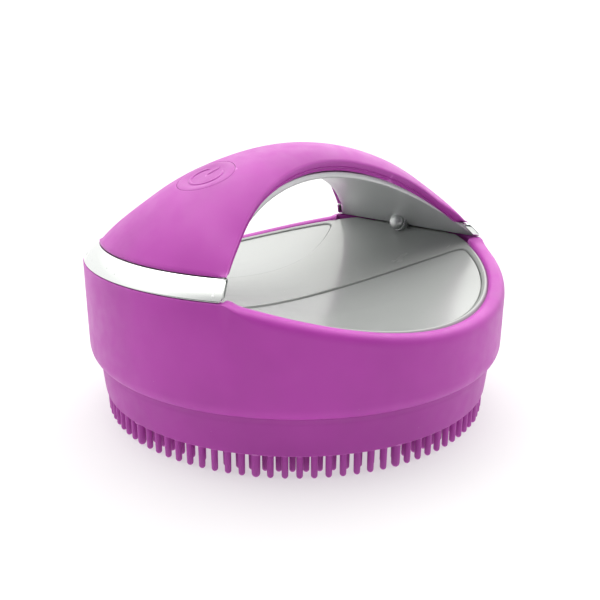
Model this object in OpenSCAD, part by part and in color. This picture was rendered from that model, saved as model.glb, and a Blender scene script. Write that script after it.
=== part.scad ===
// Round vibrating curry comb: a silicone pin brush under a body that an arched palm handle bridges.
// It stands on the pin tips. +Z is up. +X runs along the handle, from the power button to the charge port.

/* [Body] */
// Radius of the silicone sleeve
body_r = 53.1; // [52.9:0.1:53.6]
// Height of the step between the brush pad and the sleeve
step_z = 14.7; // [14.4:0.1:15.2]
// Height of the sleeve's rim at the middle of each side opening
rim_z = 30; // [29.6:0.1:31]
// Radius of the saddle curve that the rim follows along X
rim_curve_r = 120; // [117:1:123]
// Radius of the saddle curve of the tray
tray_curve_r = 120; // [118:1:122]
// Thickness of the silicone sleeve and grip
skin_t = 2.1; // [1.9:0.1:2.2]

/* [Handle] */
// Height of the handle's crown
crown_z = 65.3; // [65:0.1:66.5]
// Half-width of the handle at its waist
waist_y = 10.6; // [10:0.1:12]
// Radius of the hourglass curve along each side of the handle
waist_curve_r = 73; // [70:1:76]
// Radius of the arch under the handle
arch_r = 65.2; // [65:0.1:65.4]
// Angle of the power button from upright
button_tilt = 22.8; // [21:0.2:24]
// Radius of the power button
button_r = 6.9; // [6:0.1:7.2]
// How far the power button goes in
button_travel = 0.4; // [0.3:0.05:0.4]

/* [Brush] */
// Length of the pins
pin_len = 5.5; // [5:0.1:5.8]
// Radius of a plain pin
pin_r = 0.76; // [0.6:0.02:0.8]
// Radius of the broad pins, every tenth one of the outer ring
broad_pin_r = 1; // [0.8:0.05:1.1]
// Number of pins in the outer ring
outer_pins = 100; // [80:10:100]
// Distance between the inner rings of pins
ring_pitch = 6; // [5.6:0.1:6.6]

/* [Drive] */
// Radius of the motor can
motor_r = 6.75; // [6.25:0.25:6.75]
// Radius of the eccentric weight
weight_r = 6.5; // [5:0.5:6.5]
// Radius of the battery cell
cell_r = 7; // [6:0.5:7]

/* [Hidden] */

$fn = 96;
fine_fn = 180;
gap = 0.1;
far = 140;

purple = [0.72, 0.35, 0.70];
silver = [0.78, 0.80, 0.79];
white_plastic = [0.86, 0.86, 0.84];
board_green = [0.10, 0.35, 0.20];
wire_red = [0.70, 0.12, 0.10];

// Brush pad, base plate and drum, from the bottom up
pad_floor_t = 2.5;
pad_low_r = 50.1;
pad_top_r = 50.9;
pad_wall_in_r = 48.9;
plate_r = pad_wall_in_r - gap;
plate_z = pin_len + pad_floor_t + gap;
plate_top_z = 10.7;
drum_z = plate_top_z + 0.2;
drum_r = body_r - skin_t - 0.2;
drum_in_r = drum_r - 2.2;
drum_foot_r = 48.7;
drum_foot_in_r = 46.8;
drum_step_z = 17;
seal_r = 47.7;
seal_section_r = 0.55;
sleeve_roll_r = 1.8;
pin_land = 0.04;
second_ring_gap = 2.7;
inner_pin_pitch = 6;
pin_sink = 0.3;
edge_margin = 0.2;

// Housing screws, on a circle through the base plate into the drum's posts
post_circle_r = 44.6;
post_r = 3.2;
post_top_z = 24;
screw_shank_r = 1.25;
screw_head_r = 2.3;

// Tray and its side panels
tray_t = 2;
tray_z = rim_z - 0.4;
tray_low_z = tray_z - tray_t;
drum_top_z = tray_low_z - 0.2;
tray_r = 49;
tray_end_x = 45.4;
strip_y = 12.1;
strip_curve_r = 72;
panel_margin = 1.5;
panel_t = 0.8;
panel_step = 0.35;

// Outer dome of the handle: a flat crown arc that runs into a tighter shoulder arc
crown_r = 78;
shoulder_r = 47.3;
join_a = asin(1 / 3);
shoulder_x = (crown_r - shoulder_r) * sin(join_a);
shoulder_z = crown_z - crown_r + (crown_r - shoulder_r) * cos(join_a);
trim_z = 39;
trim_h = 3.9;
trim_top_z = trim_z + trim_h;
trim_run = 4;
trim_t = 1.8;
shell_t = 1.5;
liner_t = 1.6;
arch_z = -8;
lip_r = 57.5;
lip_z = 1.5;
root_z = 38.95;
liner_foot_z = 35.5;
lip_t = 3.4;
rebate_gap = 0.4;

// Handle feet inside the drum, with their radial screws
tongue_r = 47.1;
tongue_low_z = 29;
tongue_a = 14;
tongue_half_a = 8;
foot_screw_z = 32;
foot_post_r = 2.3;
foot_post_in_r = 43.2;

// Power button, along its own outward axis
button_x = -(shoulder_x + shoulder_r * sin(button_tilt));
button_z = shoulder_z + shoulder_r * cos(button_tilt);
dish_r = 45;
dish_depth = 0.95;
cap_low = -1.9;
recess_low = -2.4;
plunger_r = 2;
plunger_low = -3.6;
switch_top = -4.05;
switch_low = -5.6;
switch_board_low = -6.4;

// Charge port, along its own outward axis
port_x = 42.6;
port_z = 40;
port_tilt = 12;
port_face_r = 2.7;
port_body_r = 2.1;
port_len = 5.8;
port_bore_r = 1.25;
plug_head_r = 2.4;
plug_head_h = 1.9;
plug_stem_len = 3;
plug_sphere_r = 2.9;

// Drive parts on the base plate
motor_y = 21.5;
motor_z = 18;
motor_x = -16;
motor_len = 20;
motor_sleeve_t = 0.9;
shaft_r = 1;
weight_x = 6.5;
weight_len = 7;
cell_y = -22;
cell_z = 18.4;
cell_len = 48;
strap_t = 1.4;
strap_w = 7;
strap_x = 12;
board_x = 6;
board_size = [34, 15, 1.6];
board_z = 13.6;
small_shank_r = 0.9;
small_head_r = 1.8;
post_reach = 11.2;
strap_reach = 10.4;
small_post_r = 2.4;
board_hole_x = 14.5;
board_hole_y = 5.3;

// Helpers

// Everything above a saddle surface that is lowest along the line x = 0
module above_saddle(z, r)
    translate([0, 0, z + r]) rotate([90, 0, 0]) cylinder(r = r, h = far, center = true, $fn = fine_fn);

// A saddle-shaped layer between two heights
module saddle_layer(low, high, r) difference() {
    translate([-far / 2, -far / 2, low]) cube([far, far, 60]);
    above_saddle(high, r);
    translate([0, 0, low + r]) difference() {
        translate([0, 0, -r / 2 - 1]) cube([far + 2, far + 2, r + 2], center = true);
        rotate([90, 0, 0]) cylinder(r = r, h = far + 4, center = true, $fn = fine_fn);
    }
}

// A round bar along Y, for the arch and the lip under the handle
module arch_bar(z, r)
    translate([0, 0, z]) rotate([90, 0, 0]) cylinder(r = r, h = far, center = true, $fn = fine_fn);

// The hourglass plan of the handle, drawn in by an inset
module hourglass(inset, low, high) translate([0, 0, low]) linear_extrude(high - low) difference() {
    square(2 * body_r + 10, center = true);
    for (side = [-1, 1])
        translate([0, side * (waist_y + waist_curve_r)]) circle(waist_curve_r + inset, $fn = fine_fn);
}

// The solid under the outer dome, shrunk by a depth, from a floor height up
module dome(depth, floor_z) {
    join_x = (crown_r - depth) * sin(join_a);
    rotate_extrude($fn = fine_fn) {
        intersection() {
            translate([0, crown_z - crown_r]) circle(crown_r - depth, $fn = fine_fn);
            translate([0, floor_z]) square([join_x, crown_z]);
        }
        intersection() {
            translate([shoulder_x, shoulder_z]) circle(shoulder_r - depth, $fn = fine_fn);
            translate([join_x, floor_z]) square([body_r - join_x, crown_z]);
        }
    }
}

// The solid cone that backs the trim bands, shrunk sideways by an inset
module root_cone(inset, low) rotate_extrude($fn = fine_fn)
    polygon([[0, low], [body_r - inset, low], [body_r - inset, trim_z],
             [body_r - trim_run - inset, trim_top_z], [0, trim_top_z]]);

// Plan of one side panel: between the tray's round edge and the strip under the handle
module panel_outline(side, inset) intersection() {
    circle(tray_r - panel_margin - inset, $fn = fine_fn);
    translate([0, side * (strip_y + strip_curve_r)]) circle(strip_curve_r - inset, $fn = fine_fn);
}

// Places its children at an angle round the body, on a circle
module around(angle, r, z) rotate([0, 0, angle]) translate([r, 0, z]) children();

// Places its children on the power button's outward axis
module at_button() translate([button_x, 0, button_z]) rotate([0, -button_tilt, 0]) children();

// Places its children on the charge port's outward axis
module at_port() translate([port_x, 0, port_z]) rotate([0, port_tilt - 90, 0]) children();

// A pan-head screw that points up, with its head under the origin
module screw(head_r, head_t, shank_r, shank_len) {
    translate([0, 0, -head_t]) cylinder(r = head_r, h = head_t);
    cylinder(r = shank_r, h = shank_len);
}

function unit(v) = v / norm(v);
function bend(a, b, c, d, t) =
    0.5 * (2 * b + (c - a) * t + (2 * a - 5 * b + 4 * c - d) * t * t
           + (3 * b - a - 3 * c + d) * t * t * t);
function smooth(points, steps) = let (last = len(points) - 1)
    concat([for (i = [0:last - 1]) for (s = [0:steps - 1])
                bend(points[max(i - 1, 0)], points[i], points[i + 1], points[min(i + 2, last)], s / steps)],
           [points[last]]);

// A wire of round section along a smooth route; side is a direction that the route never runs along
module wire(points, r, side) {
    sides = 8;
    route = smooth(points, 4);
    last = len(route) - 1;
    ring_points = [for (i = [0:last])
        let (along = unit(route[min(i + 1, last)] - route[max(i - 1, 0)]),
             u = unit(cross(along, side)),
             v = cross(along, u))
        for (k = [0:sides - 1])
            route[i] + r * (cos(360 * k / sides) * u + sin(360 * k / sides) * v)];
    walls = [for (i = [0:last - 1]) for (k = [0:sides - 1])
        [i * sides + k, i * sides + (k + 1) % sides,
         (i + 1) * sides + (k + 1) % sides, (i + 1) * sides + k]];
    ends = [[for (k = [sides - 1:-1:0]) k], [for (k = [0:sides - 1]) last * sides + k]];
    polyhedron(points = ring_points, faces = concat(walls, ends), convexity = 4);
}

// Two wires side by side, a spacing apart
module wire_pair(points, r, side, spacing) for (s = [-1, 1])
    wire([for (p = points) p + s * spacing / 2 * unit(side)], r, side);

// Brush head

// One pin, standing on a small flat land and rounded up to its side
module pin(r) rotate_extrude($fn = 24) intersection() {
    union() {
        translate([0, r - pin_land]) circle(r);
        translate([0, r - pin_land]) square([r, pin_len]);
    }
    square([r, pin_len + pin_sink]);
}

module brush_pad() color(purple) {
    outer_r = pad_low_r - broad_pin_r - edge_margin;
    rotate_extrude($fn = fine_fn)
        polygon([[0, pin_len], [pad_low_r, pin_len], [pad_top_r, step_z - 0.2],
                 [pad_wall_in_r, step_z - 0.2], [pad_wall_in_r, pin_len + pad_floor_t],
                 [0, pin_len + pad_floor_t]]);
    for (i = [0:outer_pins - 1])
        around(360 * i / outer_pins, outer_r, 0) pin(i % 10 == 0 ? broad_pin_r : pin_r);
    // a second ring that stands behind the gaps of the first
    second_r = outer_r - second_ring_gap;
    for (i = [0:outer_pins - 1]) around(360 * (i + 0.5) / outer_pins, second_r, 0) pin(pin_r);
    for (ring_r = [second_r - ring_pitch:-ring_pitch:3]) {
        count = round(2 * PI * ring_r / inner_pin_pitch);
        for (i = [0:count - 1]) around(360 * (i + 0.5) / count, ring_r, 0) pin(pin_r);
    }
}

module base_plate() color(white_plastic) difference() {
    union() {
        translate([0, 0, plate_z]) cylinder(r = plate_r, h = plate_top_z - plate_z, $fn = fine_fn);
        // ribs that carry the motor
        for (x = [motor_x + 1, motor_x + motor_len - 5])
            translate([x, motor_y - 10.5, plate_z + 1]) cube([4, 21, motor_z - plate_z - 3]);
        // posts beside the motor for its clamp
        for (side = [-1, 1])
            translate([motor_x + motor_len / 2, motor_y + side * post_reach, plate_z + 1])
                cylinder(r = small_post_r, h = motor_z - plate_z - 1.1);
        // ribs that carry the battery, and the posts for its strap
        for (x = [-20, 17])
            translate([x, cell_y - 7, plate_z + 1]) cube([3, 14, 5.5]);
        for (side = [-1, 1])
            translate([strap_x, cell_y + side * strap_reach, plate_z + 1])
                cylinder(r = small_post_r, h = cell_z - plate_z - 1.1);
        // posts under the corners of the board
        for (sx = [-1, 1]) for (sy = [-1, 1])
            translate([board_x + sx * board_hole_x, sy * board_hole_y, plate_z + 1])
                cylinder(r = 2, h = board_z - plate_z - 1.1);
    }
    translate([motor_x - 1, motor_y, motor_z]) rotate([0, 90, 0])
        cylinder(r = motor_r + motor_sleeve_t + gap, h = motor_len + 2);
    translate([-cell_len / 2 - 1, cell_y, cell_z]) rotate([0, 90, 0])
        cylinder(r = cell_r + gap, h = cell_len + 2);
    // groove for the seal
    translate([0, 0, plate_top_z - 1.2]) difference() {
        cylinder(r = seal_r + 0.6, h = 2, $fn = fine_fn);
        translate([0, 0, -1]) cylinder(r = seal_r - 0.6, h = 4, $fn = fine_fn);
    }
    // holes and head recesses of the housing screws
    for (a = [45:90:315]) around(a, post_circle_r, 0) {
        cylinder(r = screw_shank_r + 0.2, h = 20);
        cylinder(r = screw_head_r + 0.15, h = plate_z + 1.3);
    }
    // pilot holes of the clamp, strap and board screws
    for (side = [-1, 1]) {
        translate([motor_x + motor_len / 2, motor_y + side * post_reach, plate_top_z + 0.5])
            cylinder(r = small_shank_r + 0.05, h = 20);
        translate([strap_x, cell_y + side * strap_reach, plate_top_z + 0.5])
            cylinder(r = small_shank_r + 0.05, h = 20);
        for (sx = [-1, 1])
            translate([board_x + sx * board_hole_x, side * board_hole_y, plate_top_z - 1])
                cylinder(r = small_shank_r + 0.05, h = 20);
    }
}

module pad_seal() color("dimgray") translate([0, 0, plate_top_z - 1.2 + seal_section_r])
    rotate_extrude($fn = fine_fn) translate([seal_r, 0]) circle(seal_section_r, $fn = 24);

// Body

module drum_shell() color(white_plastic) difference() {
    union() {
        difference() {
            rotate_extrude($fn = fine_fn)
                polygon([[drum_foot_in_r, drum_z], [drum_foot_r, drum_z], [drum_foot_r, step_z - 0.1],
                         [drum_r, step_z - 0.1], [drum_r, trim_z + 6], [drum_in_r, trim_z + 6],
                         [drum_in_r, drum_step_z], [drum_foot_in_r, drum_step_z]]);
            above_saddle(drum_top_z, tray_curve_r);
        }
        // ledge under the tray, open at the handle's feet
        difference() {
            intersection() {
                translate([0, 0, drum_top_z - 3]) difference() {
                    cylinder(r = drum_in_r + 0.5, h = 20, $fn = fine_fn);
                    translate([0, 0, -1]) cylinder(r = drum_in_r - 3, h = 22, $fn = fine_fn);
                }
                saddle_layer(drum_top_z - 1.8, drum_top_z, tray_curve_r);
            }
            hourglass(-1, drum_top_z - 4, 60);
        }
        for (a = [45:90:315])
            around(a, post_circle_r, drum_z) cylinder(r = post_r, h = post_top_z - drum_z);
    }
    for (a = [45:90:315])
        around(a, post_circle_r, drum_z - 1) cylinder(r = screw_shank_r + 0.05, h = 11);
    // holes and head recesses of the handle screws
    for (root = [0, 180]) for (side = [-1, 1])
        around(root + side * tongue_a, 0, foot_screw_z) rotate([0, 90, 0]) {
            cylinder(r = small_shank_r + 0.2, h = 60);
            translate([0, 0, drum_r - 1.3]) cylinder(r = small_head_r + 0.15, h = 5);
        }
}

module body_sleeve() color(purple) difference() {
    rotate_extrude($fn = fine_fn) {
        translate([0, step_z]) square([body_r - sleeve_roll_r, 30]);
        translate([body_r - sleeve_roll_r - 1, step_z + sleeve_roll_r])
            square([sleeve_roll_r + 1, 30 - sleeve_roll_r]);
        translate([body_r - sleeve_roll_r, step_z + sleeve_roll_r]) circle(sleeve_roll_r, $fn = 48);
    }
    difference() {
        translate([0, 0, step_z - 1]) cylinder(r = drum_r + gap, h = 40, $fn = fine_fn);
        above_saddle(drum_top_z + gap, tray_curve_r);
    }
    translate([0, 0, step_z]) cylinder(r = tray_r + gap, h = 40, $fn = fine_fn);
    above_saddle(rim_z, rim_curve_r);
    hourglass(-0.2, trim_z - gap, 60);
    hourglass_core(-0.2);
}

// The room inside the sleeve for the handle's feet
module hourglass_core(inset) intersection() {
    hourglass(inset, step_z, 60);
    translate([0, 0, step_z]) cylinder(r = drum_r + gap, h = 40, $fn = fine_fn);
}

module tray() color(silver) difference() {
    intersection() {
        translate([0, 0, tray_low_z - 1]) cylinder(r = tray_r, h = 30, $fn = fine_fn);
        saddle_layer(tray_low_z, tray_z, tray_curve_r);
    }
    // ends at the handle's roots
    for (side = [-1, 1]) intersection() {
        hourglass(-0.2, tray_low_z, 60);
        translate([side * (tray_end_x + 10), 0, 50]) cube([20, far, 60], center = true);
    }
    // recesses of the side panels
    for (side = [-1, 1]) intersection() {
        translate([0, 0, tray_low_z]) linear_extrude(30) panel_outline(side, 0);
        saddle_layer(tray_z - panel_step - panel_t - 0.05, tray_z + 20, tray_curve_r);
    }
    at_port() translate([0, 0, -port_len]) cylinder(r = port_face_r + gap, h = port_len + 0.3);
}

// A side panel: a thin sheet that follows the tray's saddle
module side_panel(side) color([0.66, 0.68, 0.68]) intersection() {
    translate([0, 0, tray_low_z]) linear_extrude(30) panel_outline(side, 0.15);
    saddle_layer(tray_z - panel_step - panel_t, tray_z - panel_step, tray_curve_r);
}
module side_panel_front() side_panel(-1);
module side_panel_back() side_panel(1);

// Handle

// A bright band at one root of the handle, with returns that cover the handle's sides
module trim_band(side) color([0.92, 0.92, 0.92]) difference() {
    intersection() {
        root_cone(0, trim_z);
        hourglass(0, trim_z - 1, 60);
        translate([side * 40, 0, 40]) cube([40, far, 40], center = true);
    }
    intersection() {
        root_cone(trim_t, trim_z - 1);
        hourglass(skin_t, trim_z - 2, 60);
    }
    arch_bar(arch_z, arch_r);
}
module trim_band_left() trim_band(-1);
module trim_band_right() trim_band(1);

module handle_grip() color(purple) difference() {
    intersection() {
        dome(0, trim_top_z + 0.05);
        hourglass(0, trim_z, 80);
    }
    intersection() {
        dome(skin_t, trim_z);
        hourglass(lip_t, trim_z, 80);
    }
    arch_bar(lip_z, lip_r);
    // rebate for the liner
    intersection() {
        arch_bar(arch_z, arch_r + liner_t + rebate_gap);
        hourglass(skin_t, trim_z, 80);
    }
    at_button() translate([0, 0, -5]) cylinder(r = button_r + 0.3, h = 10);
}

// The outside of the handle's stiff shell: under the grip above, under the trim band below
module shell_solid(depth) {
    intersection() {
        dome(skin_t + gap + depth, root_z);
        translate([0, 0, trim_top_z - 0.5]) cylinder(r = body_r, h = 40);
    }
    root_cone(trim_t + gap + 1.4 * depth, root_z);
}

module handle_shell() color(white_plastic) difference() {
    union() {
        difference() {
            intersection() {
                shell_solid(0);
                hourglass(lip_t + gap, root_z - 1, 80);
            }
            intersection() {
                shell_solid(shell_t);
                hourglass(lip_t + gap + shell_t, root_z - 1, 80);
            }
            translate([0, 0, root_z - 2]) cylinder(r = drum_in_r - 1.5, h = 4);
        }
        for (root = [0, 180]) for (side = [-1, 1]) rotate([0, 0, root + side * tongue_a]) {
            // tongue that drops inside the drum
            rotate([0, 0, -tongue_half_a]) rotate_extrude(angle = 2 * tongue_half_a, $fn = fine_fn)
                polygon([[tongue_r, tongue_low_z], [drum_in_r - gap, tongue_low_z],
                         [drum_in_r - gap, root_z - 0.3], [drum_in_r + 0.9, root_z + 0.6],
                         [drum_in_r - 0.2, root_z + 1.5], [tongue_r, root_z + 0.6]]);
            translate([foot_post_in_r, 0, foot_screw_z]) rotate([0, 90, 0])
                cylinder(r = foot_post_r, h = tongue_r - foot_post_in_r + 0.5);
        }
    }
    arch_bar(arch_z, arch_r + liner_t + gap);
    at_button() translate([0, 0, recess_low]) cylinder(r = button_r + 0.3, h = 10);
    at_button() cylinder(r = plunger_r + 0.2, h = 20, center = true);
    at_port() translate([0, 0, -port_len - gap]) cylinder(r = port_body_r + 0.3, h = 20);
    for (root = [0, 180]) for (side = [-1, 1])
        around(root + side * tongue_a, 0, foot_screw_z) rotate([0, 90, 0])
            cylinder(r = small_shank_r + 0.05, h = 60);
}

module handle_liner() color(silver) difference() {
    union() {
        intersection() {
            difference() {
                arch_bar(arch_z, arch_r + liner_t);
                arch_bar(arch_z, arch_r);
            }
            hourglass(skin_t + gap, root_z, 80);
            union() {
                root_cone(trim_t + gap, root_z);
                translate([0, 0, trim_top_z]) cylinder(r = body_r, h = 40);
            }
        }
        // feet that drop behind the ends of the tray
        for (side = [-1, 1]) intersection() {
            translate([side * (tray_end_x + gap + 0.7), 0, liner_foot_z + 2.2])
                cube([1.4, far, 4.4], center = true);
            hourglass(skin_t + 1, 20, 80);
            cylinder(r = tongue_r - 0.3, h = 80);
        }
        // pads under the switch board
        intersection() {
            at_button() for (side = [-1, 1])
                translate([side * 4.5, 0, switch_board_low - 0.5]) cube([2, 7, 1], center = true);
            arch_bar(arch_z, arch_r + liner_t + 0.3);
        }
    }
    at_port() cylinder(r = port_face_r + gap, h = 20, center = true);
}

module handle_screws() color("silver")
    for (root = [0, 180]) for (side = [-1, 1])
        around(root + side * tongue_a, drum_r - 1.2, foot_screw_z) rotate([0, -90, 0])
            screw(small_head_r, 1.1, small_shank_r, 6.6);

module housing_screws() color("silver")
    for (a = [45:90:315])
        around(a, post_circle_r, plate_z + 1.3) screw(screw_head_r, 1.2, screw_shank_r, 11);

// Power button and its switch

module power_button() color(purple) at_button() difference() {
    translate([0, 0, cap_low]) cylinder(r = button_r, h = 1.9);
    translate([0, 0, dish_r - dish_depth]) sphere(r = dish_r, $fn = fine_fn);
}

module button_plunger() color(white_plastic) at_button()
    translate([0, 0, plunger_low]) cylinder(r = plunger_r, h = cap_low - plunger_low);

module tact_switch() color("dimgray") at_button() {
    translate([-2.25, -2.25, switch_low]) cube([4.5, 4.5, 1.2]);
    translate([0, 0, switch_low + 1]) cylinder(r = 1, h = switch_top - switch_low - 1);
}

module switch_board() color(board_green) at_button()
    translate([-6, -4.5, switch_board_low]) cube([12, 9, switch_low - switch_board_low]);

module switch_wires() color(wire_red) wire_pair(
    [[-32.8, 0, 51.8], [-34.6, 0, 50.7], [-37.5, 0, 48.75], [-41, 0, 45.9], [-44.3, 0, 42.7],
     [-46, 0, 41.15], [-47.6, 0, 39.6], [-48.05, 0, 38.6], [-48, 0, 37], [-47, 0, 30], [-42, 0, 20],
     [-30, 0, 14.8], [-18, 0, 15], [-9.6, 0, 16.5]],
    0.35, [0, 1, 0], 1.4);

// Electronics

module main_board() color(board_green) difference() {
    translate([board_x - board_size[0] / 2, -board_size[1] / 2, board_z]) cube(board_size);
    for (sx = [-1, 1]) for (sy = [-1, 1])
        translate([board_x + sx * board_hole_x, sy * board_hole_y, board_z - 1])
            cylinder(r = small_shank_r + 0.1, h = 4);
}

module board_parts() color("dimgray") translate([board_x, 0, board_z + board_size[2]]) {
    translate([-4, -3, 0]) cube([6, 6, 1]);
    translate([5, -6.5, 0]) cube([4, 4, 2]);
    translate([5, 3, 0]) cylinder(r = 2.2, h = 4.5);
    // wire sockets, left, front, back and right
    translate([-15.5, -2.2, 0]) cube([5, 4.4, 2.6]);
    translate([-6, -7.3, 0]) cube([5, 4, 2.6]);
    translate([-6, 3.3, 0]) cube([5, 4, 2.6]);
    translate([12, -2.2, 0]) cube([5, 4.4, 2.6]);
}

module board_screws() color("silver") for (sx = [-1, 1]) for (sy = [-1, 1])
    translate([board_x + sx * board_hole_x, sy * board_hole_y, board_z + board_size[2]])
        rotate([180, 0, 0]) screw(small_head_r, 0.9, small_shank_r, 5);

module battery_cell() color([0.25, 0.45, 0.65])
translate([0, cell_y, cell_z]) rotate([0, 90, 0]) {
    translate([0, 0, -cell_len / 2]) cylinder(r = cell_r, h = cell_len - 1.2);
    translate([0, 0, cell_len / 2 - 2]) cylinder(r = 2.5, h = 2);
}

module strap(y, z, inner_r, reach) difference() {
    union() {
        translate([0, y, z]) rotate([0, 90, 0])
            cylinder(r = inner_r + strap_t, h = strap_w, center = true);
        translate([-strap_w / 2, y - reach - 2.6, z]) cube([strap_w, 2 * reach + 5.2, strap_t]);
    }
    translate([0, y, z]) rotate([0, 90, 0]) cylinder(r = inner_r, h = 20, center = true);
    translate([-10, y - 20, z - 20]) cube([20, 40, 20]);
    for (side = [-1, 1])
        translate([0, y + side * reach, z - 1]) cylinder(r = small_shank_r + 0.15, h = 5);
}

module battery_strap() color(white_plastic)
    translate([strap_x, 0, 0]) strap(cell_y, cell_z, cell_r + gap, strap_reach);

module strap_screws() color("silver") for (side = [-1, 1])
    translate([strap_x, cell_y + side * strap_reach, cell_z + strap_t]) rotate([180, 0, 0])
        screw(small_head_r, 0.9, small_shank_r, 6);

module battery_wires() color(wire_red) {
    wire([[25, cell_y, cell_z], [28.5, -20, 19.5], [27, -11, 20],
          [20, -6.8, 19.8], [10, -6.2, 19.3], [4, -5.3, 18.6]], 0.5, [0, 0, 1]);
    wire([[-24.2, cell_y, cell_z], [-28.5, -20, 19.5], [-26, -12, 20],
          [-16, -8.5, 19.8], [-5, -6.8, 19.3], [1.2, -5.6, 18.6]], 0.5, [0, 0, 1]);
}

// Motor

module motor_can() color([0.75, 0.75, 0.74])
translate([motor_x, motor_y, motor_z]) rotate([0, 90, 0]) difference() {
    union() {
        cylinder(r = motor_r, h = motor_len);
        translate([0, 0, -1.2]) cylinder(r = 3, h = 2);
        translate([0, 0, motor_len - 1]) cylinder(r = 3, h = 2.2);
    }
    translate([0, 0, -2]) cylinder(r = shaft_r + 0.05, h = motor_len + 6);
}

module motor_sleeve() color([0.2, 0.2, 0.2])
translate([motor_x + 1, motor_y, motor_z]) rotate([0, 90, 0]) difference() {
    cylinder(r = motor_r + motor_sleeve_t, h = motor_len - 2);
    translate([0, 0, -1]) cylinder(r = motor_r + 0.02, h = motor_len);
}

module motor_clamp() color(white_plastic) translate([motor_x + motor_len / 2, 0, 0])
    strap(motor_y, motor_z, motor_r + motor_sleeve_t + gap, post_reach);

module clamp_screws() color("silver") for (side = [-1, 1])
    translate([motor_x + motor_len / 2, motor_y + side * post_reach, motor_z + strap_t])
        rotate([180, 0, 0]) screw(small_head_r, 0.9, small_shank_r, 6);

module motor_shaft() color("silver") translate([motor_x - 1, motor_y, motor_z]) rotate([0, 90, 0])
    cylinder(r = shaft_r, h = weight_x + weight_len - motor_x + 2);

module eccentric_weight() color([0.55, 0.56, 0.58])
    translate([weight_x, motor_y, motor_z]) rotate([0, 90, 0]) difference() {
        union() {
            intersection() {
                cylinder(r = weight_r, h = weight_len);
                translate([0, -10, -1]) cube([20, 20, 20]);
            }
            cylinder(r = 2.4, h = weight_len);
        }
        translate([0, 0, -1]) cylinder(r = shaft_r, h = weight_len + 2);
    }

module motor_wires() color(wire_red) wire_pair(
    [[-16.6, 21.5, 22.6], [-19.5, 20.5, 22.4], [-20.5, 15, 21.5], [-17, 9, 20.5],
     [-10, 5.6, 19.9], [-3, 5, 19.6], [2, 5.2, 19.3]],
    0.45, [0, 0, 1], 1.6);

// Charge port

module charge_port() color(silver) at_port() difference() {
    union() {
        translate([0, 0, -2.6]) cylinder(r = port_face_r, h = 2.6);
        translate([0, 0, -port_len]) cylinder(r = port_body_r, h = port_len);
    }
    translate([0, 0, -port_len + 1]) cylinder(r = port_bore_r, h = port_len);
}

module charge_contact() color([0.85, 0.68, 0.30]) at_port()
    translate([0, 0, -port_len + 1]) cylinder(r = 0.4, h = 3);

module charge_port_plug() color([0.80, 0.82, 0.81]) at_port() difference() {
    union() {
        intersection() {
            translate([0, 0, plug_head_h - plug_sphere_r]) sphere(r = plug_sphere_r);
            translate([0, 0, 0.05]) cylinder(r = plug_head_r, h = 4);
        }
        translate([0, 0, -plug_stem_len]) cylinder(r = port_bore_r - 0.06, h = plug_stem_len + 0.5);
    }
    translate([0, 0, -plug_stem_len - 1]) cylinder(r = 0.6, h = plug_stem_len + 0.5);
}

module charge_wires() color(wire_red) wire_pair(
    [[47.6, 0, 36.6], [47.2, 0, 32], [44, 0, 24], [36, 0, 18], [29, 0, 16.2], [23.3, 0, 16.4]],
    0.4, [0, 1, 0], 1.4);

brush_pad();
base_plate();
pad_seal();
drum_shell();
body_sleeve();
tray();
side_panel_front();
side_panel_back();
trim_band_left();
trim_band_right();
handle_grip();
handle_shell();
handle_liner();
handle_screws();
housing_screws();
power_button();
button_plunger();
tact_switch();
switch_board();
switch_wires();
main_board();
board_parts();
board_screws();
battery_cell();
battery_strap();
strap_screws();
battery_wires();
motor_can();
motor_sleeve();
motor_clamp();
clamp_screws();
motor_shaft();
eccentric_weight();
motor_wires();
charge_port();
charge_contact();
charge_port_plug();
charge_wires();
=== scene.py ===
import math
import bmesh
import bpy
import numpy as np
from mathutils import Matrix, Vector


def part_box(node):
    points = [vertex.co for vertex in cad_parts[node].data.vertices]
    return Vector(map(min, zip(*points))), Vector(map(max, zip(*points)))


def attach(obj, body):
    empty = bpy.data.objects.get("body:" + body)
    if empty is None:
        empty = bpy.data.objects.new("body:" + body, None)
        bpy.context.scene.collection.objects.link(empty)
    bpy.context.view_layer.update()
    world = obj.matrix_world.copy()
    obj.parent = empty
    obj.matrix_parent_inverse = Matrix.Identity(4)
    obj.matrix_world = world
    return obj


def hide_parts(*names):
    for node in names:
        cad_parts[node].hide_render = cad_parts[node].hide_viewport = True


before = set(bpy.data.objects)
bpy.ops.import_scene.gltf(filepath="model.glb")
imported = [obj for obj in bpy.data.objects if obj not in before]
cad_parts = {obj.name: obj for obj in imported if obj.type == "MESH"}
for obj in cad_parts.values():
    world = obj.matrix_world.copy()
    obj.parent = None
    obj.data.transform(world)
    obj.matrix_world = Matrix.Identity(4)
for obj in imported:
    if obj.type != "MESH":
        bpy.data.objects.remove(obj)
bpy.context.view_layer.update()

# Lengths in this script are millimetres in the row frame; meshes are scaled to metres as they are made.
MM = 0.001


def low_mm(cad_node):
    return np.array(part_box(cad_node)[0]) / MM


def high_mm(cad_node):
    return np.array(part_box(cad_node)[1]) / MM


# Driving sizes, from the frame
BODY_R = high_mm("body_sleeve")[0]
STEP_Z = low_mm("body_sleeve")[2]
CROWN_Z = high_mm("handle_grip")[2]
TRIM_LOW_Z = low_mm("trim_band_right")[2]
TRIM_TOP_Z = high_mm("trim_band_right")[2]
TRAY_R = high_mm("tray")[1]
TRAY_END_X = high_mm("tray")[0]
PAD_TOP_Z = high_mm("brush_pad")[2]
PAD_TOP_R = high_mm("brush_pad")[0]

# The rim and the tray follow a saddle, lowest along x = 0
SADDLE_R = 120
RIM_Z = 30
TRAY_Z = 29.6

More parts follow.
